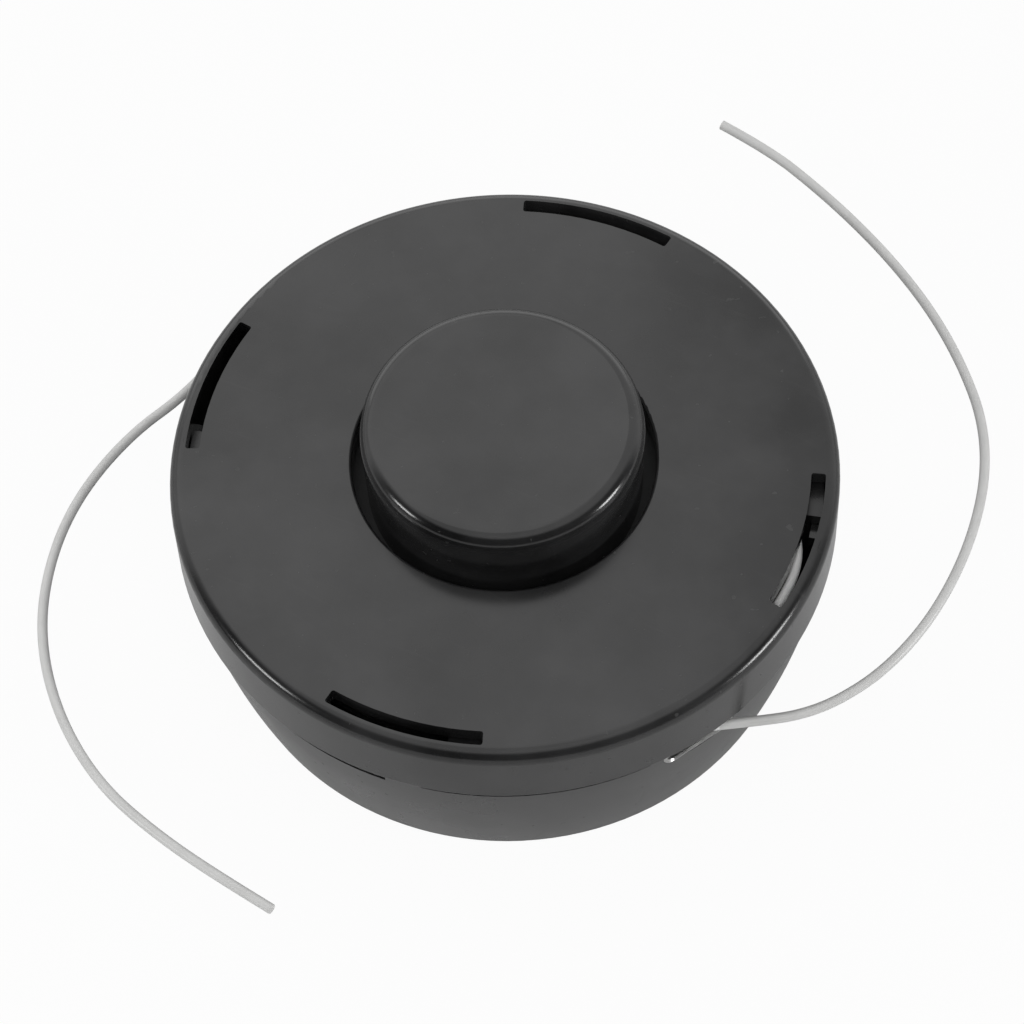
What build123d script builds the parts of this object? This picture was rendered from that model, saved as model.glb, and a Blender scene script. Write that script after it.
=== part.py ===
from build123d import *
import os
from math import cos, floor, radians, sin, tan

os.makedirs("parts", exist_ok=True)

# Bump-feed line trimmer head, in mm. It stands on its drive side with the knob up.
# The Z axis is the axis of spin. Angles are degrees counter-clockwise from +X, seen from the knob.

# Clearances
slide_gap = 0.3  # between pieces that move past each other
guide_gap = 0.2  # radial, between the spool and the post that guides it
seat_gap = 0.1  # around a piece that is seated for good
seam_gap = 0.3  # the open seam between cap and housing

# Cap
cap_radius = 65.0
cap_plate = 3.0
cap_edge_fillet = 2.9
face_crown = 1.5  # rise of the face from the rim to the knob's hole
face_bow = 0.15
skirt_height = 15.0
skirt_wall = 2.7
skirt_foot_fillet = 0.5
hole_edge_fillet = 0.6
slot_count = 4
slot_width = 2.8
slot_edge_land = 0.15
slot_span = 29.0
slot_azimuth = -20.6
slot_corner_fillet = 0.5

# Bayonet between cap and housing
lug_depth = 2.1
lug_thickness = 2.7
lug_start = 5.0  # angles of the bayonet are counted from the middle of a slot
lug_end = 14.5
hook_start = 8.0
hook_end = 19.0
hook_thickness = 2.6
hook_headroom = 1.3
lock_stop_span = 1.8
lock_stop_play = 0.6
tongue_thickness = 2.0
tongue_root = 11.0

# Housing
housing_height = 33.6
rim_step = 1.0
housing_taper = 6.4
housing_crown = 0.7
housing_wall = 2.5
housing_floor = 3.0
foot_height = 4.0
foot_width = 5.0
foot_edge_fillet = 1.5
floor_corner_fillet = 2.0
rim_chamfer = 0.4
seam_groove_depth = 1.2
seam_groove_arcs = [(-28.0, 25.0, 3.2), (3.5, 40.0, 2.1)]  # start and span from the middle of a slot, height
post_radius = 12.5
post_cover = 2.5
post_reach = 3.3  # how far the post stands above the spool's top flange
post_bore_radius = 6.0
boss_radius = 17.0
boss_recess = 0.5
rib_count = 8
rib_thickness = 1.8
rib_recess = 0.6
spring_ring_wall = 1.5
spring_ring_height = 3.0

# Line outlets
outlet_azimuth = -57.0
outlet_count = 2
eyelet_width = 16.4
eyelet_height = 4.8
eyelet_wall = 0.9
eyelet_length = 5.1
eyelet_recess = 0.6
eyelet_edge_chamfer = 0.35
eyelet_cover = 0.4
outlet_block_span = 21.0
outlet_block_depth = 4.6

# Threaded insert, M10 x 1.25 left-hand
thread_minor_radius = 4.32
insert_flats = 17.0
insert_sides = 6
insert_hex_length = 14.0
insert_flange_radius = 11.5
insert_flange = 2.0
insert_edge_chamfer = 0.6

# Spool, knob and their index lugs
press_travel = 6.0
press_margin = 0.5
spool_flange = 2.0
line_passage = 4.9
hub_wall = 2.5
spring_cavity_radius = 18.5
spring_cavity_roof = 5.6
index_count = 4
index_lug_height = 3.5
index_lug_span = 10.0
index_lug_width = 8.0
index_lug_margin = 2.5
index_azimuth = 20.0
index_rest_play = 0.6
index_step = 30.0
collar_height = 6.5
collar_wall = 3.4
key_count = 4
key_width = 4.0
key_depth = 1.4
line_slit_width = 2.2
line_slit_depth = 6.0
line_slit_count = 2
knob_radius = 27.3
knob_draft = 0.5
knob_rise = 14.6
knob_wall = 2.6
knob_top = 3.0
knob_edge_fillet = 3.0
knob_parting_step = 0.15
knob_parting_drop = 3.8
knob_clearance = 2.2

# Return spring and its seat
spring_wire = 2.0
spring_coil_radius = 15.6
spring_turns = 6.0
spring_wire_sides = 6
spring_ground = 0.6
washer_thickness = 1.2

# Nylon line
line_diameter = 2.0
line_sides = 8
winding_radius = 38.0
turn_bulge = 0.8
turn_crest = 0.4  # the share of a turn's pitch that is its crest
arc_share = 0.45  # the share of a run that the bend at each of its ends takes up
outlet_run = 9.0  # the straight length of each lead in its outlet

# Heights that follow from the sizes above
floor_top_z = foot_height + housing_floor
skirt_edge_z = housing_height + seam_gap
cap_face_z = skirt_edge_z + skirt_height
plate_under_z = cap_face_z - cap_plate
lug_tip_top_z = plate_under_z - slide_gap
spool_top_z = lug_tip_top_z - index_lug_height
spool_bottom_z = floor_top_z + press_margin + press_travel + index_lug_height
chamber_height = (spool_top_z - spool_bottom_z - 3 * spool_flange) / 2
lower_chamber_z = spool_bottom_z + spool_flange
upper_chamber_z = lower_chamber_z + chamber_height + spool_flange
knob_top_z = cap_face_z + knob_rise
knob_parting_z = knob_top_z - knob_parting_drop
post_top_z = spool_top_z + post_reach
hook_top_z = plate_under_z - hook_headroom
hook_under_z = hook_top_z - hook_thickness
lug_top_z = hook_under_z - slide_gap
washer_top_z = spool_top_z - spring_cavity_roof - seat_gap
washer_under_z = washer_top_z - washer_thickness
outlet_z = housing_height - eyelet_cover - eyelet_height / 2

# Radii that follow from the sizes above
skirt_inner = cap_radius - skirt_wall
slot_outer = skirt_inner - slot_edge_land
slot_inner = slot_outer - slot_width
lug_inner = skirt_inner - lug_depth
hook_outer = skirt_inner - slide_gap
tongue_outer = lug_inner - slide_gap
tongue_inner = tongue_outer - tongue_thickness
rim_radius = cap_radius - rim_step
foot_radius = rim_radius - housing_taper
flange_radius = tongue_inner - line_passage
hub_radius = spring_cavity_radius + hub_wall
hole_radius = knob_radius + knob_clearance
index_inner = hole_radius + index_lug_margin
index_outer = index_inner + index_lug_width
collar_radius = knob_radius - knob_draft - knob_wall - seat_gap
spring_ring_inner = spring_coil_radius + spring_wire / 2 + slide_gap
eyelet_outer_face = rim_radius - eyelet_recess
eyelet_inner_face = eyelet_outer_face - eyelet_length
slot_azimuths = [slot_azimuth + turn * 360 / slot_count for turn in range(slot_count)]
outlet_azimuths = [outlet_azimuth + turn * 360 / outlet_count for turn in range(outlet_count)]


def upright_plane(azimuth):
    """The half plane through the axis of spin at an azimuth: local x is radius, local y is height."""
    out = (cos(radians(azimuth)), sin(radians(azimuth)), 0)
    across = (sin(radians(azimuth)), -cos(radians(azimuth)), 0)
    return Plane(origin=(0, 0, 0), x_dir=out, z_dir=across)


def outlet_plane(azimuth):
    """A plane across an outlet, on the axis of spin: local x runs counter-clockwise, local y is up."""
    out = (cos(radians(azimuth)), sin(radians(azimuth)), 0)
    along = (-sin(radians(azimuth)), cos(radians(azimuth)), 0)
    return Plane(origin=(0, 0, outlet_z), x_dir=along, z_dir=out)


def ring_sector(inner, outer, start, span):
    """A flat sector of a ring that begins at a start angle and runs counter-clockwise."""
    with BuildSketch() as sector:
        with BuildLine():
            near = CenterArc((0, 0), inner, start, span)
            far = CenterArc((0, 0), outer, start, span)
            Line(near @ 0, far @ 0)
            Line(near @ 1, far @ 1)
        make_face()
    return sector.sketch


def corner(sketch, radius, height):
    """The vertex of a section that lies nearest to a radius and a height."""
    return sketch.vertices().sort_by_distance((radius, height))[0]


def wall_middle(height):
    """The radius of the middle of the housing's wall at a height."""
    return foot_radius + housing_taper * height / housing_height - housing_wall / 2


# Cap: a crowned plate with a hole for the knob, a skirt, slots, bayonet lugs and index stops
hole_edge_z = cap_face_z + face_crown
slot_opening = ring_sector(slot_inner, slot_outer, -slot_span / 2, slot_span)
cap_lug = ring_sector(lug_inner, skirt_inner + skirt_wall / 2, lug_start, lug_end - lug_start)
lock_stop = ring_sector(
    lug_inner, skirt_inner + skirt_wall / 2, hook_end + lock_stop_play, lock_stop_span
)
index_stop = ring_sector(index_inner, index_outer, -index_lug_span / 2, index_lug_span)

with BuildPart() as cap:
    with BuildSketch(Plane.XZ) as cap_section:
        with BuildLine():
            face = SagittaArc((hole_radius, hole_edge_z), (cap_radius, cap_face_z), face_bow)
            Polyline(
                face @ 1,
                (cap_radius, skirt_edge_z),
                (skirt_inner, skirt_edge_z),
                (skirt_inner, plate_under_z),
                (hole_radius, plate_under_z),
                face @ 0,
            )
        make_face()
        fillet(corner(cap_section, hole_radius, hole_edge_z), hole_edge_fillet)
        fillet(corner(cap_section, cap_radius, cap_face_z), cap_edge_fillet)
        fillet(corner(cap_section, cap_radius, skirt_edge_z), skirt_foot_fillet)
    revolve(axis=Axis.Z)
    with BuildSketch(Plane.XY.offset(plate_under_z)) as slot_openings:
        with PolarLocations(0, slot_count, start_angle=slot_azimuth):
            add(slot_opening)
        fillet(slot_openings.vertices(), slot_corner_fillet)
    extrude(amount=2 * cap_plate, mode=Mode.SUBTRACT)
    with BuildSketch(Plane.XY.offset(lug_top_z - lug_thickness)):
        with PolarLocations(0, slot_count, start_angle=slot_azimuth):
            add(cap_lug)
    extrude(amount=lug_thickness)
    with BuildSketch(Plane.XY.offset(hook_under_z)):
        with PolarLocations(0, slot_count, start_angle=slot_azimuth):
            add(lock_stop)
    extrude(amount=plate_under_z - hook_under_z)
    with BuildSketch(Plane.XY.offset(spool_top_z + press_margin)):
        with PolarLocations(0, index_count, start_angle=index_azimuth):
            add(index_stop)
    extrude(amount=plate_under_z - spool_top_z - press_margin)
cap.part.label = "cap"
export_step(cap.part, "parts/cap.step")

# Housing: a crowned conical cup with a guide post, hooked tongues, outlets, stops and ribs
wall_inner_foot = foot_radius + housing_taper * floor_top_z / housing_height - housing_wall
inner_crown = housing_crown * (1 - floor_top_z / housing_height) ** 2
boss_foot_z = boss_recess
insert_top_z = boss_foot_z + insert_flange + insert_hex_length
floor_stop_azimuth = index_azimuth - index_rest_play + index_step

with BuildPart() as housing:
    with BuildSketch(Plane.XZ) as housing_section:
        with BuildLine():
            outer_wall = SagittaArc((foot_radius, 0), (rim_radius, housing_height), -housing_crown)
            inner_wall = SagittaArc(
                (wall_inner_foot, floor_top_z),
                (rim_radius - housing_wall, housing_height),
                -inner_crown,
            )
            Line(outer_wall @ 1, inner_wall @ 1)
            Polyline(
                inner_wall @ 0,
                (post_radius, floor_top_z),
                (post_radius, post_top_z),
                (0, post_top_z),
                (0, boss_foot_z),
                (boss_radius, boss_foot_z),
                (boss_radius, foot_height),
                (foot_radius - foot_width, foot_height),
                (foot_radius - foot_width, 0),
                outer_wall @ 0,
            )
        make_face()
        fillet(corner(housing_section, foot_radius, 0), foot_edge_fillet)
        fillet(corner(housing_section, wall_inner_foot, floor_top_z), floor_corner_fillet)
        chamfer(corner(housing_section, rim_radius, housing_height), rim_chamfer)
    revolve(axis=Axis.Z)
    for azimuth in slot_azimuths:
        with BuildSketch(upright_plane(azimuth + hook_start)):
            with BuildLine():
                Polyline(
                    (tongue_inner, housing_height - tongue_root),
                    (wall_middle(housing_height - tongue_root), housing_height - tongue_root),
                    (wall_middle(housing_height), housing_height),
                    (tongue_outer, housing_height),
                    (tongue_outer, hook_under_z),
                    (hook_outer, hook_under_z),
                    (hook_outer, hook_top_z),
                    (tongue_inner, hook_top_z),
                    close=True,
                )
            make_face()
        revolve(axis=Axis.Z, revolution_arc=hook_end - hook_start)
    for azimuth in outlet_azimuths:
        with BuildSketch(upright_plane(azimuth - outlet_block_span / 2)):
            block_foot_z = outlet_z - eyelet_height
            with BuildLine():
                Polyline(
                    (rim_radius - eyelet_recess - outlet_block_depth, block_foot_z),
                    (wall_middle(block_foot_z), block_foot_z),
                    (wall_middle(housing_height), housing_height),
                    (rim_radius - eyelet_recess - outlet_block_depth, housing_height),
                    close=True,
                )
            make_face()
        revolve(axis=Axis.Z, revolution_arc=outlet_block_span)
    for azimuth in outlet_azimuths:
        with BuildSketch(outlet_plane(azimuth).offset(hub_radius)):
            notch_width = eyelet_width + 2 * seat_gap
            SlotOverall(notch_width, eyelet_height + 2 * seat_gap)
            Rectangle(notch_width, eyelet_height, align=(Align.CENTER, Align.MIN))
        extrude(amount=cap_radius - hub_radius, mode=Mode.SUBTRACT)
    for arc_start, arc_span, arc_height in seam_groove_arcs:
        with BuildSketch(Plane.XY.offset(housing_height)):
            with PolarLocations(0, slot_count, start_angle=slot_azimuth):
                add(ring_sector(rim_radius - seam_groove_depth, cap_radius, arc_start, arc_span))
        extrude(amount=-arc_height, mode=Mode.SUBTRACT)
    with BuildSketch(Plane.XY.offset(floor_top_z)):
        with PolarLocations(0, index_count, start_angle=floor_stop_azimuth):
            add(index_stop)
    extrude(amount=index_lug_height)
    with BuildSketch(Plane.XY.offset(floor_top_z)):
        Circle(spring_ring_inner + spring_ring_wall)
        Circle(spring_ring_inner, mode=Mode.SUBTRACT)
    extrude(amount=spring_ring_height)
    with BuildSketch(Plane.XY.offset(rib_recess)):
        rib_length = foot_radius - foot_width - boss_radius
        with PolarLocations(boss_radius + rib_length / 2, rib_count):
            Rectangle(rib_length + 2 * seat_gap, rib_thickness)
    extrude(amount=foot_height + housing_floor / 2 - rib_recess)
    with BuildSketch(Plane.XY.offset(boss_foot_z)):
        Circle(insert_flange_radius + seat_gap)
    extrude(amount=insert_flange, mode=Mode.SUBTRACT)
    with BuildSketch(Plane.XY.offset(boss_foot_z)):
        RegularPolygon(insert_flats / 2 + seat_gap, insert_sides, major_radius=False)
    extrude(amount=insert_flange + insert_hex_length, mode=Mode.SUBTRACT)
    with BuildSketch(Plane.XY.offset(insert_top_z)):
        Circle(post_bore_radius)
    extrude(amount=post_top_z - post_cover - insert_top_z, mode=Mode.SUBTRACT)
housing.part.label = "housing"
export_step(housing.part, "parts/housing.step")

# Threaded insert: a flanged hexagon that the drive shaft screws into
with BuildPart() as hub_insert:
    with BuildSketch(Plane.XY.offset(boss_foot_z)):
        Circle(insert_flange_radius)
    extrude(amount=insert_flange)
    with BuildSketch(Plane.XY.offset(boss_foot_z)):
        RegularPolygon(insert_flats / 2, insert_sides, major_radius=False)
    extrude(amount=insert_flange + insert_hex_length)
    with BuildSketch(Plane.XY.offset(boss_foot_z)):
        Circle(thread_minor_radius)
    extrude(amount=insert_flange + insert_hex_length, mode=Mode.SUBTRACT)
    flange_rim = hub_insert.edges().filter_by(GeomType.CIRCLE).sort_by(SortBy.RADIUS)[-2:]
    chamfer(flange_rim.sort_by(Axis.Z)[0], insert_edge_chamfer)
hub_insert.part.label = "hub_insert"
export_step(hub_insert.part, "parts/hub_insert.step")


def make_eyelet(azimuth):
    """A flattened metal sleeve that lines one outlet, with eased mouths."""
    with BuildPart() as eyelet:
        with BuildSketch(outlet_plane(azimuth).offset(eyelet_inner_face)):
            SlotOverall(eyelet_width, eyelet_height)
            SlotOverall(
                eyelet_width - 2 * eyelet_wall, eyelet_height - 2 * eyelet_wall, mode=Mode.SUBTRACT
            )
        extrude(amount=eyelet_length)
        end_faces = eyelet.faces().filter_by(outlet_plane(azimuth))
        chamfer(end_faces.edges(), eyelet_edge_chamfer)
    return eyelet.part


for side, azimuth in zip(("right", "left"), outlet_azimuths):
    eyelet_part = make_eyelet(azimuth)
    eyelet_part.label = f"eyelet_{side}"
    export_step(eyelet_part, f"parts/eyelet_{side}.step")

# Spool: a hub with two chambers, index lugs above and below, and a collar for the knob
index_lug_azimuth = index_azimuth - index_lug_span - index_rest_play
middle_flange_z = lower_chamber_z + chamber_height
top_flange_z = upper_chamber_z + chamber_height
collar_top_z = spool_top_z + collar_height
guide_radius = post_radius + guide_gap
cavity_roof_z = spool_top_z - spring_cavity_roof

with BuildPart() as spool:
    with BuildSketch(Plane.XZ):
        with BuildLine():
            Polyline(
                (spring_cavity_radius, spool_bottom_z),
                (flange_radius, spool_bottom_z),
                (flange_radius, lower_chamber_z),
                (hub_radius, lower_chamber_z),
                (hub_radius, middle_flange_z),
                (flange_radius, middle_flange_z),
                (flange_radius, upper_chamber_z),
                (hub_radius, upper_chamber_z),
                (hub_radius, top_flange_z),
                (flange_radius, top_flange_z),
                (flange_radius, spool_top_z),
                (collar_radius, spool_top_z),
                (collar_radius, collar_top_z),
                (collar_radius - collar_wall, collar_top_z),
                (collar_radius - collar_wall, spool_top_z),
                (guide_radius, spool_top_z),
                (guide_radius, cavity_roof_z),
                (spring_cavity_radius, cavity_roof_z),
                close=True,
            )
        make_face()
    revolve(axis=Axis.Z)
    with BuildSketch(Plane.XY.offset(spool_top_z)):
        with PolarLocations(0, index_count, start_angle=index_lug_azimuth):
            add(index_stop)
    extrude(amount=index_lug_height)
    with BuildSketch(Plane.XY.offset(spool_bottom_z)):
        with PolarLocations(0, index_count, start_angle=index_lug_azimuth):
            add(index_stop)
    extrude(amount=-index_lug_height)
    with BuildSketch(Plane.XY.offset(spool_top_z)):
        with PolarLocations(collar_radius, key_count):
            Rectangle(2 * key_depth, key_width)
    extrude(amount=collar_height, mode=Mode.SUBTRACT)
    with BuildSketch(Plane.XY.offset(middle_flange_z)):
        with PolarLocations(flange_radius, line_slit_count):
            Rectangle(2 * line_slit_depth, line_slit_width)
    extrude(amount=spool_flange, mode=Mode.SUBTRACT)
spool.part.label = "spool"
export_step(spool.part, "parts/spool.step")

# Knob: a drafted cup that is keyed onto the spool's collar
with BuildPart() as bump_knob:
    with BuildSketch(Plane.XZ) as knob_section:
        with BuildLine():
            Polyline(
                (collar_radius + seat_gap, spool_top_z),
                (knob_radius - knob_draft, spool_top_z),
                (knob_radius, knob_parting_z),
                (knob_radius - knob_parting_step, knob_parting_z),
                (knob_radius - knob_parting_step, knob_top_z),
                (0, knob_top_z),
                (0, knob_top_z - knob_top),
                (collar_radius + seat_gap, knob_top_z - knob_top),
                close=True,
            )
        make_face()
        fillet(corner(knob_section, knob_radius - knob_parting_step, knob_top_z), knob_edge_fillet)
    revolve(axis=Axis.Z)
    with BuildSketch(Plane.XY.offset(spool_top_z)):
        with PolarLocations(collar_radius + seat_gap, key_count):
            Rectangle(2 * (key_depth - seat_gap), key_width - 2 * seat_gap)
        Circle(collar_radius + knob_wall / 2, mode=Mode.INTERSECT)
    extrude(amount=collar_height)
bump_knob.part.label = "bump_knob"
export_step(bump_knob.part, "parts/bump_knob.step")


def make_winding(chamber_z):
    """The wound line in one chamber, with a ridge for each turn of its outer layer."""
    foot_z = chamber_z + seat_gap
    turns = floor((chamber_height - 2 * seat_gap) / line_diameter)
    pitch = (chamber_height - 2 * seat_gap) / turns
    with BuildPart() as winding:
        with BuildSketch(Plane.XZ):
            with BuildLine():
                for turn in range(turns):
                    middle_z = foot_z + (turn + 0.5) * pitch
                    Polyline(
                        (winding_radius, middle_z - pitch / 2),
                        (winding_radius + turn_bulge, middle_z - turn_crest * pitch / 2),
                        (winding_radius + turn_bulge, middle_z + turn_crest * pitch / 2),
                        (winding_radius, middle_z + pitch / 2),
                    )
                Polyline(
                    (winding_radius, foot_z + turns * pitch),
                    (hub_radius + seat_gap, foot_z + turns * pitch),
                    (hub_radius + seat_gap, foot_z),
                    (winding_radius, foot_z),
                )
            make_face()
        revolve(axis=Axis.Z)
    return winding.part


for level, chamber_z in (("upper", upper_chamber_z), ("lower", lower_chamber_z)):
    winding_part = make_winding(chamber_z)
    winding_part.label = f"winding_{level}"
    export_step(winding_part, f"parts/winding_{level}.step")

# Thrust washer between the spring and the spool
with BuildPart() as thrust_washer:
    with BuildSketch(Plane.XY.offset(washer_under_z)):
        Circle(spring_cavity_radius - slide_gap)
        Circle(post_radius + slide_gap, mode=Mode.SUBTRACT)
    extrude(amount=washer_thickness)
thrust_washer.part.label = "thrust_washer"
export_step(thrust_washer.part, "parts/thrust_washer.step")

# Return spring: round wire with ground ends, between the floor and the washer
spring_start_z = floor_top_z + spring_wire / 2 - spring_ground
spring_rise = washer_under_z - spring_wire / 2 + spring_ground - spring_start_z

with BuildPart() as spring:
    with BuildLine() as spring_path:
        Helix(
            pitch=spring_rise / spring_turns,
            height=spring_rise,
            radius=spring_coil_radius,
            center=(0, 0, spring_start_z),
        )
    with BuildSketch(Plane(origin=spring_path.line @ 0, z_dir=spring_path.line % 0)):
        RegularPolygon(spring_wire / 2, spring_wire_sides)
    sweep(path=spring_path.line, is_frenet=True)
    with BuildSketch(Plane.XY.offset(floor_top_z)):
        Circle(spring_cavity_radius)
    extrude(amount=washer_under_z - floor_top_z, mode=Mode.INTERSECT)
spring.part.label = "spring"
export_step(spring.part, "parts/spring.step")


def bend_radii(points):
    """The arc radius at each corner of a route, as large as its two runs allow."""
    radii = []
    for before, here, after in zip(points, points[1:], points[2:]):
        arriving = Vector(here) - Vector(before)
        leaving = Vector(after) - Vector(here)
        half_turn = radians(arriving.get_angle(leaving)) / 2
        radii.append(arc_share * min(arriving.length, leaving.length) / tan(half_turn))
    return radii


def make_strand(name, points):
    """A round strand of nylon along straight runs joined by tangent arcs."""
    radii = bend_radii(points)
    print(name, "bend radii", [round(radius, 1) for radius in radii])
    with BuildPart() as strand:
        with BuildLine() as route:
            FilletPolyline(*points, radius=radii)
        with BuildSketch(Plane(origin=route.line @ 0, z_dir=route.line % 0)):
            section = RegularPolygon(line_diameter / 2, line_sides)
        sweep(path=route.line)
    length = sum(edge.length for edge in route.edges())
    print(name, "length", round(length, 1), "from volume", round(strand.part.volume / section.area, 1))
    strand.part.label = name
    export_step(strand.part, f"parts/{name}.step")


# Free ends of the nylon line, from the mouth of each outlet to the cut end
line_right_route = [
    (38.4, -50.3, 30.8),
    (46.4, -49.9, 30.9),
    (54.2, -49.2, 31.2),
    (61.6, -46.7, 31.6),
    (70.2, -41.4, 32.0),
    (78.8, -32.9, 32.4),
    (86.0, -22.2, 32.9),
    (91.3, -10.8, 33.4),
    (94.7, 1.4, 33.9),
    (95.2, 13.5, 34.3),
    (92.6, 25.7, 34.7),
    (88.2, 37.9, 35.2),
    (82.2, 49.4, 35.6),
    (75.0, 60.2, 36.1),
    (66.8, 70.6, 36.5),
    (58.0, 80.1, 37.0),
    (48.6, 86.9, 37.6),
]
line_left_route = [
    (-38.6, 50.2, 30.8),
    (-46.8, 49.5, 30.9),
    (-52.9, 43.4, 31.3),
    (-58.6, 36.4, 31.7),
    (-64.8, 29.0, 32.2),
    (-73.2, 21.9, 32.7),
    (-81.4, 11.4, 33.3),
    (-87.0, 0.4, 33.8),
    (-90.2, -11.6, 34.2),
    (-91.1, -23.8, 34.7),
    (-89.3, -36.4, 35.1),
    (-84.9, -48.9, 35.6),
    (-78.2, -60.2, 36.1),
    (-69.5, -69.4, 36.6),
    (-58.6, -78.8, 37.1),
    (-46.8, -87.7, 37.7),
]
make_strand("line_right", line_right_route)
make_strand("line_left", line_left_route)


def polar_point(azimuth, radius, height):
    """A point of a route inside the head, from its azimuth, radius and height."""
    return (radius * cos(radians(azimuth)), radius * sin(radians(azimuth)), height)


def backed_off(route, distance):
    """The point that lies a distance behind the start of a route, in line with its first run."""
    first_run = (Vector(route[1]) - Vector(route[0])).normalized()
    return tuple(Vector(route[0]) - first_run * distance)


# Leads inside the head, from the windings to the outlets, clear of the spool over its travel
line_radius = line_diameter / 2
leaving_radius = winding_radius + turn_bulge + line_radius + slide_gap
tongue_pass = tongue_inner - line_radius - slide_gap
bulge_radius = skirt_inner - line_radius - 2 * slide_gap
chamber_low = line_radius + slide_gap
chamber_high = chamber_height - press_travel - line_radius - slide_gap
lead_lift = (chamber_low + chamber_high) / 2
upper_lead_z = upper_chamber_z + lead_lift
lower_lead_z = lower_chamber_z + lead_lift
slot_strand_z = plate_under_z - line_radius - 2 * slide_gap

lead_left_route = [
    polar_point(-112, leaving_radius, upper_lead_z),
    polar_point(-98, leaving_radius + 1.4, upper_lead_z),
    polar_point(-84, leaving_radius + 5.2, upper_lead_z),
    polar_point(-71, tongue_pass - 3.6, upper_lead_z),
    polar_point(-58, tongue_pass - 0.4, upper_lead_z + 2.6),
    polar_point(-46, tongue_pass + 2.0, slot_strand_z - 5.2),
    polar_point(-34, bulge_radius - 0.6, slot_strand_z - 1.2),
    polar_point(-23, bulge_radius - 0.2, slot_strand_z),
    polar_point(-13, tongue_pass - 0.2, slot_strand_z - 0.4),
    polar_point(-1, tongue_pass - 1.6, slot_strand_z - 1.8),
    polar_point(15, tongue_pass + 0.2, slot_strand_z - 3.6),
    polar_point(33, tongue_pass + 1.2, slot_strand_z - 5.4),
    polar_point(53, tongue_pass + 0.8, slot_strand_z - 7.4),
    polar_point(73, tongue_pass - 0.4, slot_strand_z - 9.4),
    polar_point(91, tongue_pass - 0.9, slot_strand_z - 11.2),
    polar_point(107, tongue_pass - 0.8, outlet_z + 0.4),
    backed_off(line_left_route, outlet_run),
    line_left_route[0],
]
lead_right_route = [
    polar_point(-212, leaving_radius, lower_lead_z),
    polar_point(-196, leaving_radius + 1.6, lower_lead_z),
    polar_point(-179, leaving_radius + 6.4, lower_lead_z),
    polar_point(-165, tongue_pass - 2.6, lower_lead_z),
    polar_point(-150, tongue_pass - 0.8, lower_lead_z + 2.0),
    polar_point(-134, tongue_pass - 0.5, lower_lead_z + 4.6),
    polar_point(-118, tongue_pass - 0.6, lower_lead_z + 6.9),
    polar_point(-102, tongue_pass - 0.8, lower_lead_z + 9.1),
    polar_point(-87, tongue_pass - 0.9, outlet_z - 1.0),
    polar_point(-74, tongue_pass - 0.8, outlet_z - 0.2),
    backed_off(line_right_route, outlet_run),
    line_right_route[0],
]
make_strand("lead_left", lead_left_route)
make_strand("lead_right", lead_right_route)
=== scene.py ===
"""Looks of a bump-feed trimmer head: black moulded plastic, bright metal and nylon line on a pale floor."""

import logging
import math
from dataclasses import dataclass, field
from enum import Enum
from typing import Any, Optional, Sequence

import bmesh
import bpy
from mathutils import Matrix, Vector


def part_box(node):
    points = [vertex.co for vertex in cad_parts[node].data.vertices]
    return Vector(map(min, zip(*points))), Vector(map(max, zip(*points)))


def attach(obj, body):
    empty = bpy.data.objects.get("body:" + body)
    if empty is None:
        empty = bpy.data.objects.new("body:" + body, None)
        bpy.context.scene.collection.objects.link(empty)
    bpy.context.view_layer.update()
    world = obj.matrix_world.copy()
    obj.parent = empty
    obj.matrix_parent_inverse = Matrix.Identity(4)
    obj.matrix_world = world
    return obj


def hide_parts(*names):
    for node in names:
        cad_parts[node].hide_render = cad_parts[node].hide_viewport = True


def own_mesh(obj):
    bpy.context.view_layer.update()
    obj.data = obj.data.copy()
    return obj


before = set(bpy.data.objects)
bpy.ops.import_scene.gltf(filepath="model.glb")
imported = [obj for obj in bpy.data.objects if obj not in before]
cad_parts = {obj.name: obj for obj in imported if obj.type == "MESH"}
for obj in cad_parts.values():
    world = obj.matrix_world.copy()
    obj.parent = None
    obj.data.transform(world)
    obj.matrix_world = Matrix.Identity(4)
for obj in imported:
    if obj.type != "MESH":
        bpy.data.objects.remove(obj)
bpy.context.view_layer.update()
LOG = logging.getLogger("trimmer_head")

Point = tuple[float, float, float]
Colour = tuple[float, float, float]
MIX_FACTOR, MIX_FIRST, MIX_SECOND, MIX_RESULT = 0, 6, 7, 2  # a Mix node's sockets for colours


class Body(Enum):
    """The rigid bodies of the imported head."""

    HEAD = "head"
    CAP = "cap"
    SPRING_SEAT = "spring_seat"
    SPOOL = "spool"


class Slot(Enum):
    """The record's material slots."""

    BLACK_PLASTIC = "black_plastic"
    SPOOL_PLASTIC = "spool_plastic"
    ZINC_STEEL = "zinc_steel"
    SPRING_STEEL = "spring_steel"
    EYELET_METAL = "eyelet_metal"
    NYLON_LINE = "nylon_line"


class Hand(Enum):
    """The sense in which a helix climbs."""

    RIGHT = 1.0
    LEFT = -1.0


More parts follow.
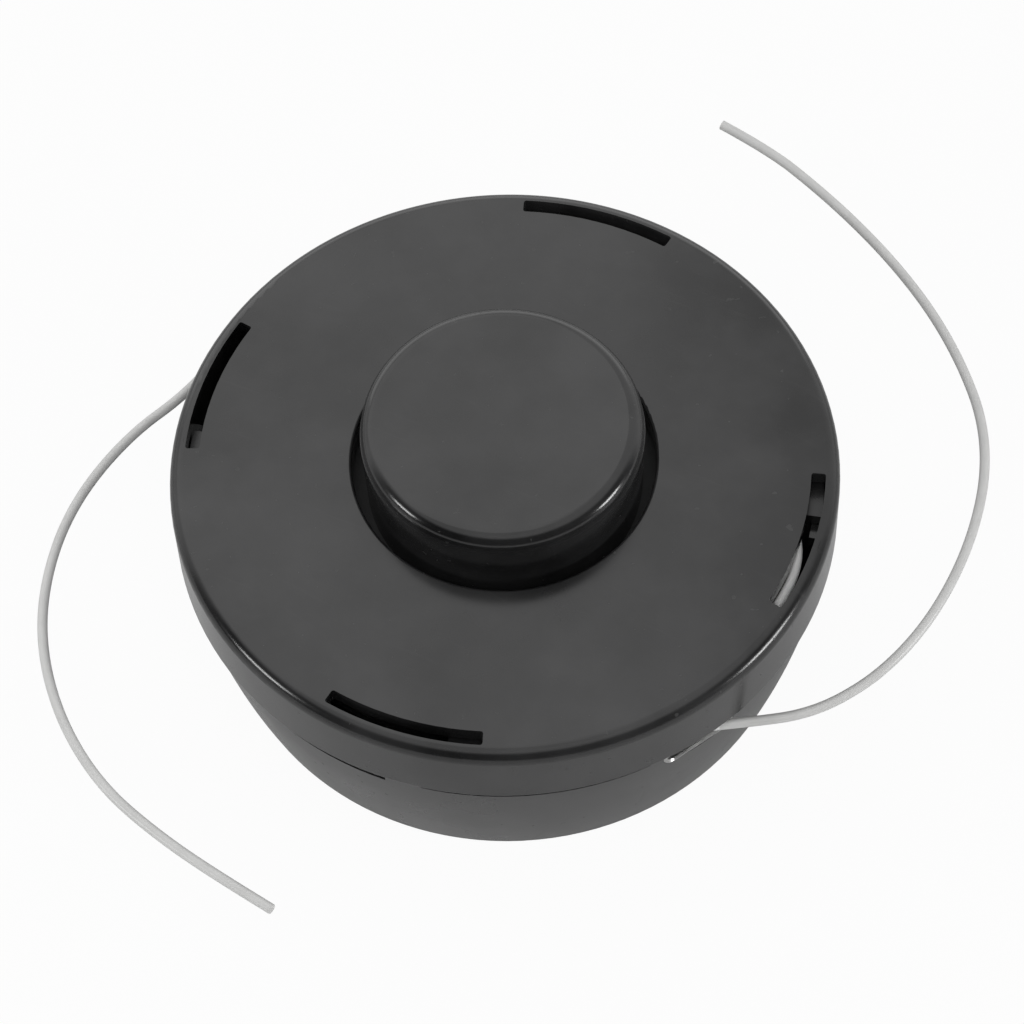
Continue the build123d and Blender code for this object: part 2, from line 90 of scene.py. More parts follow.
class Term:
    """A number in a node tree. Arithmetic on it adds Math nodes."""

    def __init__(self, sheet: "NodeSheet", socket: bpy.types.NodeSocket) -> None:
        """Wraps one output socket of a sheet's tree."""
        self.sheet = sheet
        self.socket = socket

    def math(self, operation: str, *others: Any) -> "Term":
        """Adds a Math node with this term as its first value."""
        return self.sheet.math(operation, self, *others)

    def __add__(self, other: Any) -> "Term":
        """This term plus another."""
        return self.math("ADD", other)

    __radd__ = __add__

    def __mul__(self, other: Any) -> "Term":
        """This term times another."""
        return self.math("MULTIPLY", other)

    __rmul__ = __mul__

    def __sub__(self, other: Any) -> "Term":
        """This term less another."""
        return self.math("SUBTRACT", other)

    def __rsub__(self, other: Any) -> "Term":
        """Another number less this term."""
        return self.sheet.math("SUBTRACT", other, self)

    def __truediv__(self, other: Any) -> "Term":
        """This term divided by another."""
        return self.math("DIVIDE", other)

    def __rtruediv__(self, other: Any) -> "Term":
        """Another number divided by this term."""
        return self.sheet.math("DIVIDE", other, self)

    def __pow__(self, other: Any) -> "Term":
        """This term to a power."""
        return self.math("POWER", other)

    def clamped(self) -> "Term":
        """This term held between 0 and 1."""
        return self.math("MINIMUM", 1.0).math("MAXIMUM", 0.0)

    def rise(self, low: float, high: float) -> "Term":
        """A smooth step of this term, from 0 at low to 1 at high.

        Args:
            low: the value where the step begins.
            high: the value where the step ends.

        Returns:
            The stepped term.
        """
        share = ((self - low) / (high - low)).clamped()
        return share * share * (3.0 - 2.0 * share)


class NodeSheet:
    """A node tree that is written as expressions."""

    def __init__(self, tree: bpy.types.NodeTree) -> None:
        """Starts on an empty tree."""
        self.tree = tree
        self.tree.nodes.clear()

    def node(
        self,
        kind: str,
        settings: Optional[dict[str, Any]] = None,
        inputs: Optional[dict[Any, Any]] = None,
    ) -> bpy.types.Node:
        """Adds a node.

        Args:
            kind: the node's type.
            settings: properties that are set first.
            inputs: values or links of its sockets, by name or by index.

        Returns:
            The new node.
        """
        made = self.tree.nodes.new(kind)
        for key, value in (settings or {}).items():
            setattr(made, key, value)
        for key, value in (inputs or {}).items():
            source = value.socket if isinstance(value, Term) else value
            if isinstance(source, bpy.types.NodeSocket):
                self.tree.links.new(source, made.inputs[key])
            else:
                made.inputs[key].default_value = source
        return made

    def term(self, kind: str, settings: dict[str, Any], inputs: dict[Any, Any], output: Any = 0) -> Term:
        """Adds a node and wraps one of its outputs.

        Args:
            kind: the node's type.
            settings: properties that are set first.
            inputs: values or links of its sockets.
            output: the name or index of the output.

        Returns:
            The wrapped output.
        """
        return Term(self, self.node(kind, settings, inputs).outputs[output])

    def math(self, operation: str, *values: Any) -> Term:
        """Adds a Math node on one or more values."""
        return self.term("ShaderNodeMath", {"operation": operation}, dict(enumerate(values)))

    def vector(self, x: Any, y: Any, z: Any) -> bpy.types.NodeSocket:
        """Joins three numbers into a vector."""
        return self.node("ShaderNodeCombineXYZ", None, {0: x, 1: y, 2: z}).outputs[0]


class ShaderSheet(NodeSheet):
    """The node tree of one material."""

    def __init__(self, name: str) -> None:
        """Makes a new material with an empty tree.

        Args:
            name: the material's name.
        """
        self.material = bpy.data.materials.new(name)
        self.material.use_nodes = True
        super().__init__(self.material.node_tree)
        self.place = self.node("ShaderNodeTexCoord").outputs["Object"]

    def noise(
        self, scale: float, detail: float = 2.0, stretch: Optional[Point] = None, turn: float = 0.0
    ) -> Term:
        """A noise in the piece's own frame.

        Args:
            scale: waves per metre.
            detail: octaves of finer noise.
            stretch: factors on the three axes, for streaks.
            turn: a turn about Z before the stretch, in degrees.

        Returns:
            The noise, from 0 to 1.
        """
        place = self.place
        if stretch is not None:
            turned = {"Rotation": (0.0, 0.0, math.radians(turn)), "Vector": place}
            place = self.node("ShaderNodeMapping", None, turned).outputs[0]
            place = self.node("ShaderNodeMapping", None, {"Scale": stretch, "Vector": place}).outputs[0]
        return self.term("ShaderNodeTexNoise", {}, {"Vector": place, "Scale": scale, "Detail": detail})

    def colour(self, first: Any, second: Any, share: Term) -> bpy.types.NodeSocket:
        """Mixes two colours.

        Args:
            first: the colour, or a socket of it, where the share is 0.
            second: the colour, or a socket of it, where the share is 1.
            share: how much of the second there is.

        Returns:
            The mixed colour's socket.
        """
        ends = [(*end, 1.0) if isinstance(end, tuple) else end for end in (first, second)]
        inputs = {MIX_FACTOR: share, MIX_FIRST: ends[0], MIX_SECOND: ends[1]}
        return self.node("ShaderNodeMix", {"data_type": "RGBA"}, inputs).outputs[MIX_RESULT]

    def bump(self, height: Term, strength: float, distance: float) -> bpy.types.NodeSocket:
        """A bumped normal from a height.

        Args:
            height: the height, in units of the distance.
            strength: the share of the bump that is used.
            distance: the depth of a height of 1, in metres.

        Returns:
            The normal's socket.
        """
        inputs = {"Height": height, "Strength": strength, "Distance": distance}
        return self.node("ShaderNodeBump", None, inputs).outputs[0]

    def surface(self, inputs: dict[str, Any]) -> bpy.types.Material:
        """Ends the tree in a Principled shader.

        Args:
            inputs: values or links of the shader's sockets.

        Returns:
            The finished material.
        """
        shader = self.node("ShaderNodeBsdfPrincipled", None, inputs)
        return self.ended(shader.outputs[0])

    def ended(self, shader: bpy.types.NodeSocket) -> bpy.types.Material:
        """Ends the tree in any shader."""
        self.node("ShaderNodeOutputMaterial", None, {"Surface": shader})
        return self.material


@dataclass(frozen=True)
class MouldedPlastic:
    """Black moulded plastic with soft clouds, fine scuffs and dust."""

    name: str
    dark: Colour = (0.007, 0.007, 0.0072)
    light: Colour = (0.037, 0.037, 0.0375)
    dust: Colour = (0.085, 0.085, 0.084)
    roughness: float = 0.21
    haze: float = 0.10
    grain: float = 0.06
    dust_edge: float = 0.735
    cloud_waves: float = 19.0
    smudge_waves: float = 46.0
    mottle_waves: float = 110.0
    fleck_waves: float = 620.0
    scuff_waves: float = 55.0
    wide_scuff_waves: float = 38.0
    grain_waves: float = 2600.0
    sink_waves: float = 34.0
    bump_strength: float = 0.25
    bump_depth: float = 0.00012
    ior: float = 1.5

    def material(self) -> bpy.types.Material:
        """Builds the finish.

        Returns:
            The finished material.
        """
        sheet = ShaderSheet(self.name)
        clouds = sheet.noise(self.cloud_waves, 3.0).rise(0.3, 0.7)
        smudges = sheet.noise(self.smudge_waves, 4.0).rise(0.36, 0.66)
        mottle = sheet.noise(self.mottle_waves, 3.0).rise(0.3, 0.75)
        flecks = sheet.noise(self.fleck_waves, 1.0).rise(self.dust_edge, self.dust_edge + 0.05)
        scuffs = sheet.noise(self.scuff_waves, 4.0, stretch=(1.0, 16.0, 1.0), turn=28.0).rise(0.62, 0.78)
        wide_scuffs = sheet.noise(
            self.wide_scuff_waves, 4.0, stretch=(14.0, 1.0, 1.0), turn=-52.0
        ).rise(0.64, 0.80)
        worn = (scuffs + wide_scuffs) * 0.5
        share = (clouds * 0.4 + smudges * 0.4 + mottle * 0.2 + worn * 0.25).clamped()
        base = sheet.colour(self.dark, self.light, share)
        dusted = sheet.colour(base, self.dust, flecks * 0.2)
        rough = self.roughness + (clouds + smudges - 1.0) * self.haze * 0.5 + worn * 0.07 + flecks * 0.2
        fine = sheet.noise(self.grain_waves, 2.0)
        sinks = sheet.noise(self.sink_waves, 2.0)
        height = fine * self.grain + sinks * 1.6 + worn * 0.05
        return sheet.surface(
            {
                "Base Color": dusted,
                "Roughness": rough,
                "Normal": sheet.bump(height, self.bump_strength, self.bump_depth),
                "IOR": self.ior,
            }
        )


@dataclass(frozen=True)
class PlainMetal:
    """Bare or plated metal with fine drawing marks."""

    name: str
    dark: Colour
    light: Colour
    roughness: float
    cloud_waves: float = 180.0
    mark_waves: float = 420.0
    bump_strength: float = 0.15
    bump_depth: float = 0.00004

    def material(self) -> bpy.types.Material:
        """Builds the finish.

        Returns:
            The finished material.
        """
        sheet = ShaderSheet(self.name)
        clouds = sheet.noise(self.cloud_waves, 3.0)
        marks = sheet.noise(self.mark_waves, 3.0, stretch=(1.0, 1.0, 9.0))
        base = sheet.colour(self.dark, self.light, (clouds * 0.6 + marks * 0.5).clamped())
        rough = self.roughness + (marks - 0.5) * 0.18 + (clouds - 0.5) * 0.12
        return sheet.surface(
            {
                "Base Color": base,
                "Metallic": 1.0,
                "Roughness": rough,
                "Normal": sheet.bump(marks, self.bump_strength, self.bump_depth),
            }
        )


@dataclass(frozen=True)
class NylonLine:
    """Off-white nylon monofilament."""

    name: str
    dark: Colour = (0.59, 0.59, 0.582)
    light: Colour = (0.76, 0.76, 0.75)
    roughness: float = 0.36
    cloud_waves: float = 160.0
    score_waves: float = 420.0
    ior: float = 1.53

    def material(self) -> bpy.types.Material:
        """Builds the finish.

        Returns:
            The finished material.
        """
        sheet = ShaderSheet(self.name)
        clouds = sheet.noise(self.cloud_waves, 3.0)
        scores = sheet.noise(self.score_waves, 1.0)
        base = sheet.colour(self.dark, self.light, (clouds * 0.8 + scores * 0.25).clamped())
        rough = self.roughness + (clouds - 0.5) * 0.12
        return sheet.surface({"Base Color": base, "Roughness": rough, "IOR": self.ior})


@dataclass
class Finishes:
    """Every material of the head, made once."""

    cap: bpy.types.Material = field(default_factory=lambda: MouldedPlastic("cap_plastic").material())
    housing: bpy.types.Material = field(
        default_factory=lambda: MouldedPlastic("housing_plastic", roughness=0.30).material()
    )
    knob: bpy.types.Material = field(
        default_factory=lambda: MouldedPlastic("knob_plastic", roughness=0.18).material()
    )
    spool: bpy.types.Material = field(
        default_factory=lambda: MouldedPlastic("spool_plastic", roughness=0.7, grain=0.2).material()
    )
    zinc: bpy.types.Material = field(
        default_factory=lambda: PlainMetal("zinc_plate", (0.48, 0.49, 0.5), (0.68, 0.68, 0.67), 0.34).material()
    )
    wire: bpy.types.Material = field(
        default_factory=lambda: PlainMetal(
            "spring_wire", (0.30, 0.30, 0.31), (0.52, 0.52, 0.52), 0.3
        ).material()
    )
    eyelet: bpy.types.Material = field(
        default_factory=lambda: PlainMetal("eyelet_metal", (0.34, 0.34, 0.34), (0.6, 0.6, 0.59), 0.3).material()
    )
    nylon: bpy.types.Material = field(default_factory=lambda: NylonLine("nylon_line").material())
    # A lighter copy of the line's finish for the leads: painted light, so the lead in the slot's shade shows as
    # bright as the lit free line.
    brightened_nylon: bpy.types.Material = field(
        default_factory=lambda: NylonLine("brightened_lead_line", (0.88, 0.88, 0.87), (0.95, 0.95, 0.94)).material()
    )


def dress(node: str, material: bpy.types.Material) -> bpy.types.Object:
    """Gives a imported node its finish.

    Args:
        node: the node's name.
        material: the finish.

    Returns:
        The node's object.
    """
    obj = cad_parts[node]
    for slot in obj.material_slots:
        slot.material = material
    LOG.info("%s wears %s", node, material.name)
    return obj


def new_piece(name: str, mesh: bpy.types.Mesh, material: bpy.types.Material) -> bpy.types.Object:
    """Links a finished mesh as an object at the origin.

    Args:
        name: the object's name.
        mesh: its mesh.
        material: its finish.

    Returns:
        The new object.
    """
    mesh.materials.clear()
    mesh.materials.append(material)
    obj = bpy.data.objects.new(name, mesh)
    bpy.context.scene.collection.objects.link(obj)
    return obj


@dataclass
class WoundWire:
    """A round wire along a helix, made by Geometry Nodes."""

    name: str
    turns: float
    wire_radius: float
    points_per_turn: int = 48
    wire_sides: int = 12
    hand: Hand = Hand.RIGHT
    smooth: bool = True

    def path(self, share: Term, turn: Term) -> tuple[Any, Any]:
        """The radius and the height of the wire's middle.

        Args:
            share: how far along the wire a point is, from 0 to 1.
            turn: the turns wound so far.

        Returns:
            The radius and the height, in metres.
        """
        raise NotImplementedError

    def tree(self, material: bpy.types.Material) -> tuple[bpy.types.NodeTree, dict[str, str]]:
        """Builds the node group.

        Args:
            material: the finish of the wire.

        Returns:
            The group, and the identifier of each named input.
        """
        group = bpy.data.node_groups.new(f"{self.name}_tree", "GeometryNodeTree")
        sheet = NodeSheet(group)
        for name, kind in (("Turns", "Float"), ("Wire Radius", "Float"), ("Points", "Int"), ("Sides", "Int")):
            group.interface.new_socket(name=name, in_out="INPUT", socket_type=f"NodeSocket{kind}")
        group.interface.new_socket(name="Geometry", in_out="OUTPUT", socket_type="NodeSocketGeometry")
        given = sheet.node("NodeGroupInput").outputs
        line = sheet.node("GeometryNodeCurvePrimitiveLine")
        dense = sheet.node(
            "GeometryNodeResampleCurve", {"mode": "COUNT"}, {"Curve": line.outputs[0], "Count": given["Points"]}
        )
        share = sheet.term("GeometryNodeSplineParameter", {}, {}, "Factor")
        turn = share * Term(sheet, given["Turns"])
        angle = turn * (2.0 * math.pi * self.hand.value)
        radius, height = self.path(share, turn)
        place = sheet.vector(angle.math("COSINE") * radius, angle.math("SINE") * radius, height)
        wound = sheet.node("GeometryNodeSetPosition", None, {"Geometry": dense.outputs[0], "Position": place})
        upright = sheet.node("GeometryNodeSetCurveNormal", {"mode": "Z_UP"}, {"Curve": wound.outputs[0]})
        section = sheet.node(
            "GeometryNodeCurvePrimitiveCircle",
            None,
            {"Resolution": given["Sides"], "Radius": given["Wire Radius"]},
        )
        tube = sheet.node(
            "GeometryNodeCurveToMesh",
            None,
            {"Curve": upright.outputs[0], "Profile Curve": section.outputs[0], "Fill Caps": True},
        )
        shaded = sheet.node(
            "GeometryNodeSetShadeSmooth", None, {"Geometry": tube.outputs[0], "Shade Smooth": self.smooth}
        )
        real = sheet.node("GeometryNodeRealizeInstances", None, {0: shaded.outputs[0]})
        finished = sheet.node(
            "GeometryNodeSetMaterial", None, {"Geometry": real.outputs[0], "Material": material}
        )
        sheet.node("NodeGroupOutput", None, {0: finished.outputs[0]})
        named = {item.name: item.identifier for item in group.interface.items_tree if item.in_out == "INPUT"}
        return group, named

    def build(self, material: bpy.types.Material) -> bpy.types.Object:
        """Evaluates the node group into a plain mesh.

        Args:
            material: the finish of the wire.

        Returns:
            The wire's object.
        """
        group, named = self.tree(material)
        obj = new_piece(self.name, bpy.data.meshes.new(self.name), material)
        modifier = obj.modifiers.new("wound", "NODES")
        modifier.node_group = group
        modifier[named["Turns"]] = float(self.turns)
        modifier[named["Wire Radius"]] = self.wire_radius
        modifier[named["Points"]] = int(self.turns * self.points_per_turn)
        modifier[named["Sides"]] = self.wire_sides
        graph = bpy.context.evaluated_depsgraph_get()
        mesh = bpy.data.meshes.new_from_object(obj.evaluated_get(graph))
        obj.modifiers.remove(modifier)
        obj.data = mesh
        mesh.name = self.name
        return obj


@dataclass
class ReturnSpring(WoundWire):
    """The spring under the spool, with a closed turn at each end."""

    coil_radius: float = 0.0156
    foot: float = 0.007
    top: float = 0.0352
    closed_turns: float = 0.9

    def path(self, share: Term, turn: Term) -> tuple[Any, Any]:
        """A constant radius, and a height whose end turns lie close.

        Args:
            share: how far along the wire a point is, from 0 to 1; not used here.
            turn: the turns wound so far.

        Returns:
            The radius and the height, in metres.
        """
        step = 2.0 * self.wire_radius
        low = self.foot + self.wire_radius
        free_turns = self.turns - 2.0 * self.closed_turns
        free_rise = self.top - self.foot - step - 2.0 * self.closed_turns * step
        from_foot = turn.math("MINIMUM", self.closed_turns)
        from_top = (turn - (self.turns - self.closed_turns)).math("MAXIMUM", 0.0)
        free = ((turn - self.closed_turns) / free_turns).clamped()
        return self.coil_radius, low + from_foot * step + free * free_rise + from_top * step


@dataclass
class LayeredWinding(WoundWire):
    """The line in one chamber of the spool, wound to and fro in layers."""

    layers: int = 8
    inner: float = 0.0211
    outer: float = 0.0388
    foot: float = 0.0
    top: float = 0.01

    def path(self, share: Term, turn: Term) -> tuple[Any, Any]:
        """A radius that steps out with each layer, and a height that runs up and down.

        Args:
            share: how far along the wire a point is, from 0 to 1; not used here.
            turn: the turns wound so far.

        Returns:
            The radius and the height, in metres.
        """
        per_layer = self.turns / self.layers
        layer = (turn / per_layer).math("FLOOR").math("MINIMUM", self.layers - 1.0)
        along = turn / per_layer - layer
        odd = layer.math("MODULO", 2.0)
        up_and_down = along + odd * (1.0 - 2.0 * along)
        pitch = (self.outer - self.inner - 2.0 * self.wire_radius) / (self.layers - 1)
        climb = along.rise(1.0 - 0.1 / per_layer, 1.0)
        radius = self.inner + self.wire_radius + (layer + climb).math("MINIMUM", self.layers - 1.0) * pitch
        low = self.foot + self.wire_radius
        return radius, low + up_and_down * (self.top - self.foot - 2.0 * self.wire_radius)


@dataclass
class ThreadRidge(WoundWire):
    """The ridge of the insert's thread, three-sided with its edge towards the axis."""

    crest_radius: float = 0.00432
    foot: float = 0.001
    top: float = 0.0162

    def path(self, share: Term, turn: Term) -> tuple[Any, Any]:
        """A constant radius and a steady climb."""
        return self.crest_radius + self.wire_radius, self.foot + share * (self.top - self.foot)


@dataclass
class NylonStrand:
    """A strand of line along a smooth curve through a given route."""

    name: str
    route: Sequence[Point]
    diameter: float = 0.002
    steps_per_point: int = 14
    bevel_steps: int = 5

    def build(self, material: bpy.types.Material) -> bpy.types.Object:
        """Makes the strand's curve.

        Args:
            material: the finish of the line.

        Returns:
            The strand's object.
        """
        curve = bpy.data.curves.new(self.name, "CURVE")
        curve.dimensions = "3D"
        spline = curve.splines.new("NURBS")
        spline.points.add(len(self.route) - 1)
        for control, place in zip(spline.points, self.route):
            control.co = (*place, 1.0)
        spline.order_u = 3
        spline.use_endpoint_u = True
        curve.resolution_u = self.steps_per_point
        curve.bevel_depth = self.diameter / 2.0
        curve.bevel_resolution = self.bevel_steps
        curve.use_fill_caps = True
        curve.materials.append(material)
        obj = bpy.data.objects.new(self.name, curve)
        bpy.context.scene.collection.objects.link(obj)
        return obj

    def build_mesh(self, material: bpy.types.Material) -> bpy.types.Object:
        """Makes the strand as a plain mesh.

        Args:
            material: the finish of the line.

        Returns:
            The strand's object.
        """
        laid = self.build(material)
        graph = bpy.context.evaluated_depsgraph_get()
        mesh = bpy.data.meshes.new_from_object(laid.evaluated_get(graph))
        bpy.data.objects.remove(laid)
        return new_piece(self.name, mesh, material)


@dataclass
class ThreadedInsert:
    """A steel insert with a flange, a hexagon and a bore at its thread's major radius."""

    name: str
    foot: float
    top: float
    flange: float = 0.002
    flange_radius: float = 0.0115
    chamfer: float = 0.0006
    flats: float = 0.017
    sides: int = 6
    bore_radius: float = 0.005
    segments: int = 96
    sharp_angle: float = 25.0

    def section(self, angle: float) -> list[tuple[float, float]]:
        """The outline at an angle about the axis.

        Args:
            angle: the angle from +X, where a corner of the hexagon lies.

        Returns:
            Radii and heights, round from the foot of the bore.
        """
        sector = 2.0 * math.pi / self.sides
        hexagon = self.flats / 2.0 / math.cos(angle % sector - sector / 2.0)
        step = self.foot + self.flange
        return [
            (self.bore_radius, self.foot),
            (self.flange_radius - self.chamfer, self.foot),
            (self.flange_radius, self.foot + self.chamfer),
            (self.flange_radius, step),
            (hexagon, step),
            (hexagon, self.top),
            (self.bore_radius, self.top),
        ]

    def build(self, material: bpy.types.Material) -> bpy.types.Object:
        """Turns the section about the axis.

        Args:
            material: the finish of the insert.

        Returns:
            The insert's object.
        """
        body = bmesh.new()
        rings = []
        for segment in range(self.segments):
            angle = 2.0 * math.pi * segment / self.segments
            ring = [
                body.verts.new((radius * math.cos(angle), radius * math.sin(angle), height))
                for radius, height in self.section(angle)
            ]
            rings.append(ring)
        for ring, following in zip(rings, rings[1:] + rings[:1]):
            ring_pairs = zip(ring, ring[1:] + ring[:1])
            following_pairs = zip(following, following[1:] + following[:1])
            for (low, high), (next_low, next_high) in zip(ring_pairs, following_pairs):
                body.faces.new((low, next_low, next_high, high))
        bmesh.ops.recalc_face_normals(body, faces=body.faces)
        for face in body.faces:
            face.smooth = True
        mesh = bpy.data.meshes.new(self.name)
        body.to_mesh(mesh)
        body.free()
        mesh.set_sharp_from_angle(angle=math.radians(self.sharp_angle))
        return new_piece(self.name, mesh, material)


@dataclass
class Shell:
    """The two halves of the casing."""

    finishes: Finishes

    def build(self) -> None:
        """Dresses the housing and the cap."""
        dress("housing", self.finishes.housing)
        dress("cap", self.finishes.cap)


@dataclass
class FeedUnit:
    """The spool with its line, knob, washer and return spring."""

    finishes: Finishes
    spring_turns: float = 7.0
    spring_wire: float = 0.002
    pressed_share: float = 0.787
    line_diameter: float = 0.002
    turns_per_layer: int = 4
    winding_layers: int = 8
    hub_radius: float = 0.0211

    def build(self) -> None:
        """Dresses the mouldings, and makes the wound wires in place of their plain solids."""
        dress("spool", self.finishes.spool)
        dress("bump_knob", self.finishes.knob)
        dress("thrust_washer", self.finishes.zinc)
        self.build_spring()
        for level in ("upper", "lower"):
            self.build_winding(level)

    def build_spring(self) -> None:
        """Makes the return spring at the length of its plain solid. The real spring shortens as the knob is
        pressed; this one keeps one length.
        """
        low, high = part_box("spring")
        spring = ReturnSpring(
            "return_spring", self.spring_turns, self.spring_wire / 2.0, foot=low.z, top=high.z, wire_sides=14
        ).build(self.finishes.wire)
        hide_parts("spring")
        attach(spring, Body.HEAD.value)
        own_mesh(spring)
        LOG.info("return spring made")

    def build_winding(self, level: str) -> None:
        """Makes the wound line of one chamber.

        Args:
            level: the chamber, upper or lower.
        """
        node = f"winding_{level}"
        low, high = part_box(node)
        winding = LayeredWinding(
            f"wound_line_{level}",
            float(self.turns_per_layer * self.winding_layers),
            self.line_diameter / 2.0,
            wire_sides=8,
            layers=self.winding_layers,
            inner=self.hub_radius,
            outer=high.x,
            foot=low.z,
            top=high.z,
        ).build(self.finishes.nylon)
        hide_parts(node)
        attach(winding, Body.SPOOL.value)
        LOG.info("%s wound", node)


@dataclass
class DriveHub:
    """The threaded insert on the drive side."""

    finishes: Finishes
    pitch: float = 0.00125
    minor_radius: float = 0.00432
    ridge_radius: float = 0.00047

    def build(self) -> None:
        """Makes the insert and the left-hand thread in its bore."""
        low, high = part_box("hub_insert")
        insert = ThreadedInsert("threaded_insert", low.z, high.z).build(self.finishes.zinc)
        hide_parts("hub_insert")
        margin = self.pitch / 2.0
        turns = (high.z - low.z - 2.0 * margin) / self.pitch
        thread = ThreadRidge(
            "insert_thread",
            turns,
            self.ridge_radius,
            points_per_turn=40,
            wire_sides=3,
            hand=Hand.LEFT,
            smooth=False,
            crest_radius=self.minor_radius,
            foot=low.z + margin,
            top=high.z - margin,
        ).build(self.finishes.zinc)
        for piece in (insert, thread):
            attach(piece, Body.HEAD.value)
        LOG.info("insert with %.0f turns of thread made", turns)


LINE_RIGHT_ROUTE: tuple[Point, ...] = (
    (0.0384, -0.0503, 0.0308),
    (0.0464, -0.0499, 0.0309),
    (0.0542, -0.0492, 0.0312),
    (0.0616, -0.0467, 0.0316),
    (0.0702, -0.0414, 0.0320),
    (0.0788, -0.0329, 0.0324),
    (0.0860, -0.0222, 0.0329),
    (0.0913, -0.0108, 0.0334),
    (0.0947, 0.0014, 0.0339),
    (0.0952, 0.0135, 0.0343),
    (0.0926, 0.0257, 0.0347),
    (0.0882, 0.0379, 0.0352),
    (0.0822, 0.0494, 0.0356),
    (0.0750, 0.0602, 0.0361),
    (0.0668, 0.0706, 0.0365),
    (0.0580, 0.0801, 0.0370),
    (0.0486, 0.0869, 0.0376),
)
LINE_LEFT_ROUTE: tuple[Point, ...] = (
    (-0.0386, 0.0502, 0.0308),
    (-0.0468, 0.0495, 0.0309),
    (-0.0529, 0.0434, 0.0313),
    (-0.0586, 0.0364, 0.0317),
    (-0.0648, 0.0290, 0.0322),
    (-0.0732, 0.0219, 0.0327),
    (-0.0814, 0.0114, 0.0333),
    (-0.0870, 0.0004, 0.0338),
    (-0.0902, -0.0116, 0.0342),
    (-0.0911, -0.0238, 0.0347),
    (-0.0893, -0.0364, 0.0351),
    (-0.0849, -0.0489, 0.0356),
    (-0.0782, -0.0602, 0.0361),
    (-0.0695, -0.0694, 0.0366),
    (-0.0586, -0.0788, 0.0371),
    (-0.0468, -0.0877, 0.0377),
)
LEAD_RIGHT_ROUTE: tuple[Point, ...] = (
    (-0.0340, 0.0212, 0.0208),
    (-0.0401, 0.0115, 0.0208),
    (-0.0465, -0.0008, 0.0208),
    (-0.0522, -0.0140, 0.0208),
    (-0.0483, -0.0279, 0.0228),
    (-0.0390, -0.0404, 0.0254),
    (-0.0263, -0.0494, 0.0277),
    (-0.0116, -0.0546, 0.0299),
    (0.0029, -0.0556, 0.0298),
    (0.0154, -0.0536, 0.0306),
    (0.0294, -0.0507, 0.0307),
    (0.0384, -0.0503, 0.0308),
)
LEAD_LEFT_ROUTE: tuple[Point, ...] = (
    (-0.0150, -0.0372, 0.0323),
    (-0.0058, -0.0411, 0.0323),
    (0.0047, -0.0451, 0.0323),
    (0.0173, -0.0501, 0.0323),
    (0.0298, -0.0477, 0.0349),
    (0.0407, -0.0422, 0.0391),
    (0.0498, -0.0336, 0.0431),
    (0.0557, -0.0236, 0.0443),
    (0.0550, -0.0127, 0.0439),
    (0.0550, -0.0010, 0.0425),
    (0.0549, 0.0147, 0.0407),
    (0.0485, 0.0315, 0.0389),
    (0.0345, 0.0458, 0.0369),
    (0.0164, 0.0537, 0.0349),
    (-0.0010, 0.0557, 0.0331),
    (-0.0163, 0.0534, 0.0312),
    (-0.0296, 0.0510, 0.0307),
    (-0.0386, 0.0502, 0.0308),
)


@dataclass
class CutterLines:
    """The two free lines, the leads that feed them and the eyelets that they leave through."""

    finishes: Finishes
    diameter: float = 0.002
    right_length: float = 0.185
    left_length: float = 0.1775

    def build(self) -> None:
        """Makes the strands and dresses the eyelets that guide them."""
        for side in ("right", "left"):
            dress(f"eyelet_{side}", self.finishes.eyelet)
        self.build_lead("right", LEAD_RIGHT_ROUTE)
        self.build_lead("left", LEAD_LEFT_ROUTE)
        self.build_line("right", LINE_RIGHT_ROUTE)
        self.build_line("left", LINE_LEFT_ROUTE)

    def build_lead(self, side: str, route: Sequence[Point]) -> None:
        """Makes the strand from a winding to an outlet.

        Args:
            side: the side of its outlet.
            route: its control points, from the winding to the outlet.
        """
        # The lead wears the lighter copy of the line's finish, painted light for the slot's shade.
        lead = NylonStrand(f"inner_line_{side}", route, self.diameter).build_mesh(self.finishes.brightened_nylon)
        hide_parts(f"lead_{side}")
        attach(lead, Body.HEAD.value)
        LOG.info("lead on the %s laid", side)

    def build_line(self, side: str, route: Sequence[Point]) -> None:
        """Makes one free line.

        Args:
            side: the side that it leaves from.
            route: its control points, from the outlet to the cut end.
        """
        line = NylonStrand(f"free_line_{side}", route, self.diameter).build(self.finishes.nylon)
        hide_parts(f"line_{side}")
        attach(line, Body.HEAD.value)
        LOG.info("free line on the %s laid", side)


@dataclass(frozen=True)
class Softbox:
    """A rectangular studio lamp that faces the head or a point beside it."""

    name: str
    azimuth: float
    elevation: float
    distance: float
    width: float
    height: float
    radiance: float
    aside: float = 0.0
    reflected: bool = True

    def build(self, target: Vector) -> None:
        """Hangs the lamp.

        Args:
            target: the point that it faces.
        """
        lamp = bpy.data.lights.new(self.name, "AREA")
        lamp.shape = "RECTANGLE"
        lamp.size = self.width
        lamp.size_y = self.height
        lamp.energy = math.pi * self.radiance * self.width * self.height
        obj = bpy.data.objects.new(self.name, lamp)
        bpy.context.scene.collection.objects.link(obj)
        level = math.cos(math.radians(self.elevation))
        out = Vector(
            (
                level * math.cos(math.radians(self.azimuth)),
                level * math.sin(math.radians(self.azimuth)),
                math.sin(math.radians(self.elevation)),
            )
        )
        turn = out.to_track_quat("Z", "Y")
        obj.location = target + out * self.distance + turn @ Vector((self.aside, 0.0, 0.0))
        obj.rotation_euler = turn.to_euler()
        obj.visible_camera = False
        obj.visible_glossy = self.reflected
        obj.visible_transmission = False


